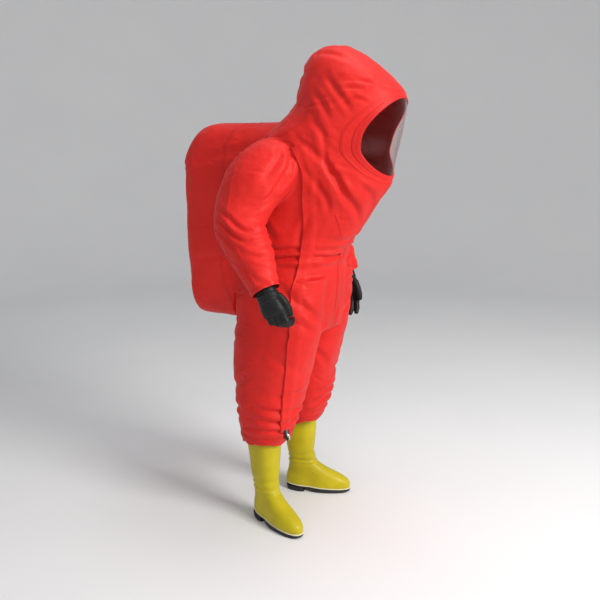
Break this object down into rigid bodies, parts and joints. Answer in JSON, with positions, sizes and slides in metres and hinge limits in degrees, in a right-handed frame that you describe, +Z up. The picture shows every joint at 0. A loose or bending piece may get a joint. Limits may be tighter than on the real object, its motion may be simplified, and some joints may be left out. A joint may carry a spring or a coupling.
{
  "type": "chemical protective suit",
  "caption": "Gas-tight encapsulating chemical suit in its worn shape: hood with curved window, back hump for the breathing set, sealed zip, rubber gloves and boots",
  "frame": {"origin": "centre of the bounding box on the floor under the boots", "axes": "+Z up, the suit faces -Y, the wearer's left is +X"},
  "size_m": [0.8324, 0.857, 1.855],
  "materials": {
    "suit_fabric": "red rubber-coated fabric, satin, fine cloth texture and soft creases",
    "seam_trim": "red rubberised seam tape, satin",
    "visor_clear": "clear flexible window, glossy, light reflections",
    "glove_rubber": "black rubber, satin",
    "black_rubber": "black rubber, matt",
    "boot_yellow": "yellow boot rubber, semi-gloss",
    "boot_welt": "cream rubber strip",
    "boot_sole": "black boot rubber, matt",
    "lining": "grey felt lining",
    "clamp_steel": "brushed steel band",
    "zip_metal": "nickel and brass zip metal, worn",
    "zip_tape": "black rubberised zip tape",
    "plastic_grey": "grey moulded plastic",
    "webbing": "black polyester webbing"
  },
  "bodies": {
    "upper_arm_right": {"sleeve_upper_right": "suit_fabric", "elbow_gusset_right": "suit_fabric"},
    "forearm_right": {"sleeve_forearm_right": "suit_fabric", "glove_ring_right": "plastic_grey"},
    "hand_right": {"glove_right": "glove_rubber"},
    "thigh_right": {"trouser_thigh_right": "suit_fabric", "knee_gusset_right": "suit_fabric", "zip_tape_thigh": "zip_tape", "zip_flap_thigh": "suit_fabric"},
    "shin_right": {"trouser_shin_right": "suit_fabric", "boot_upper_right": "boot_yellow", "boot_welt_right": "boot_welt", "boot_outsole_right": "boot_sole", "boot_heel_right": "boot_sole", "boot_insole_right": "lining", "boot_clamp_right": "clamp_steel", "zip_tape_shin": "zip_tape", "zip_flap_shin": "suit_fabric", "zip_stop_bottom": "plastic_grey"},
    "upper_arm_left": {"sleeve_upper_left": "suit_fabric", "elbow_gusset_left": "suit_fabric"},
    "forearm_left": {"sleeve_forearm_left": "suit_fabric", "glove_ring_left": "plastic_grey"},
    "hand_left": {"glove_left": "glove_rubber"},
    "thigh_left": {"trouser_thigh_left": "suit_fabric", "knee_gusset_left": "suit_fabric"},
    "shin_left": {"trouser_shin_left": "suit_fabric", "boot_upper_left": "boot_yellow", "boot_welt_left": "boot_welt", "boot_outsole_left": "boot_sole", "boot_heel_left": "boot_sole", "boot_insole_left": "lining", "boot_clamp_left": "clamp_steel"},
    "zip_slider_body": {"zip_slider": "zip_metal"},
    "zip_pull_body": {"zip_pull": "zip_metal"},
    "valve_disc_upper_body": {"valve_disc_upper": "black_rubber"},
    "valve_disc_lower_body": {"valve_disc_lower": "black_rubber"},
    "suit_body": {"hip_gusset_left": "suit_fabric", "hip_gusset_right": "suit_fabric", "hood_shell": "suit_fabric", "hump_shell": "suit_fabric", "torso_shell": "suit_fabric", "valve_cap_lower": "seam_trim", "valve_cap_upper": "seam_trim", "valve_seat_lower": "plastic_grey", "valve_seat_upper": "plastic_grey", "visor_frame": "seam_trim", "visor_lens": "visor_clear", "waist_belt": "webbing", "zip_flap_torso": "suit_fabric", "zip_stop_top": "zip_metal", "zip_tape_torso": "zip_tape"}
  },
  "joints": [
    {"name": "shoulder_right", "type": "hinge", "parent": "suit_body", "child": "upper_arm_right", "pos_m": [-0.21067, 0.00753, 1.412], "axis": [-1, 0, 0], "range_deg": [-20, 60]},
    {"name": "elbow_right", "type": "hinge", "parent": "upper_arm_right", "child": "forearm_right", "pos_m": [-0.33067, 0.05753, 1.215], "axis": [-1, 0, 0], "range_deg": [-15, 55], "deforming": ["elbow_gusset_right"]},
    {"name": "wrist_right", "type": "hinge", "parent": "forearm_right", "child": "hand_right", "pos_m": [-0.36367, -0.06547, 1.02], "axis": [-1, 0, 0], "range_deg": [-11, 11]},
    {"name": "hip_right", "type": "hinge", "parent": "suit_body", "child": "thigh_right", "pos_m": [-0.12067, 0.05253, 0.93], "axis": [-1, 0, 0], "range_deg": [-8, 50], "deforming": ["hip_gusset_right"]},
    {"name": "knee_right", "type": "hinge", "parent": "thigh_right", "child": "shin_right", "pos_m": [-0.13067, 0.06253, 0.5], "axis": [1, 0, 0], "range_deg": [0, 70], "deforming": ["knee_gusset_right"]},
    {"name": "shoulder_left", "type": "hinge", "parent": "suit_body", "child": "upper_arm_left", "pos_m": [0.21933, 0.00753, 1.412], "axis": [-1, 0, 0], "range_deg": [-20, 60]},
    {"name": "elbow_left", "type": "hinge", "parent": "upper_arm_left", "child": "forearm_left", "pos_m": [0.32933, 0.05753, 1.19], "axis": [-1, 0, 0], "range_deg": [-15, 55], "deforming": ["elbow_gusset_left"]},
    {"name": "wrist_left", "type": "hinge", "parent": "forearm_left", "child": "hand_left", "pos_m": [0.36433, -0.03947, 0.97], "axis": [-1, 0, 0], "range_deg": [-11, 11]},
    {"name": "hip_left", "type": "hinge", "parent": "suit_body", "child": "thigh_left", "pos_m": [0.12933, 0.05253, 0.93], "axis": [-1, 0, 0], "range_deg": [-8, 50], "deforming": ["hip_gusset_left"]},
    {"name": "knee_left", "type": "hinge", "parent": "thigh_left", "child": "shin_left", "pos_m": [0.13933, 0.06253, 0.5], "axis": [1, 0, 0], "range_deg": [0, 70], "deforming": ["knee_gusset_left"]},
    {"name": "zip_slide", "type": "slide", "parent": "shin_right", "child": "zip_slider_body", "axis": [-0.6147, -0.1901, 0.7655], "range_m": [0, 0.035]},
    {"name": "zip_pull_hinge", "type": "hinge", "parent": "zip_slider_body", "child": "zip_pull_body", "pos_m": [-0.16467, -0.04936, 0.38593], "axis": [-0.7747, 0.3281, -0.5406], "range_deg": [0, 85]},
    {"name": "valve_upper", "type": "slide", "parent": "suit_body", "child": "valve_disc_upper_body", "axis": [1, 0, 0], "range_m": [0, 0.002], "stiffness_N_per_m": 200, "springref_m": -0.002},
    {"name": "valve_lower", "type": "slide", "parent": "suit_body", "child": "valve_disc_lower_body", "axis": [1, 0, 0], "range_m": [0, 0.002], "stiffness_N_per_m": 200, "springref_m": -0.002}
  ]
}
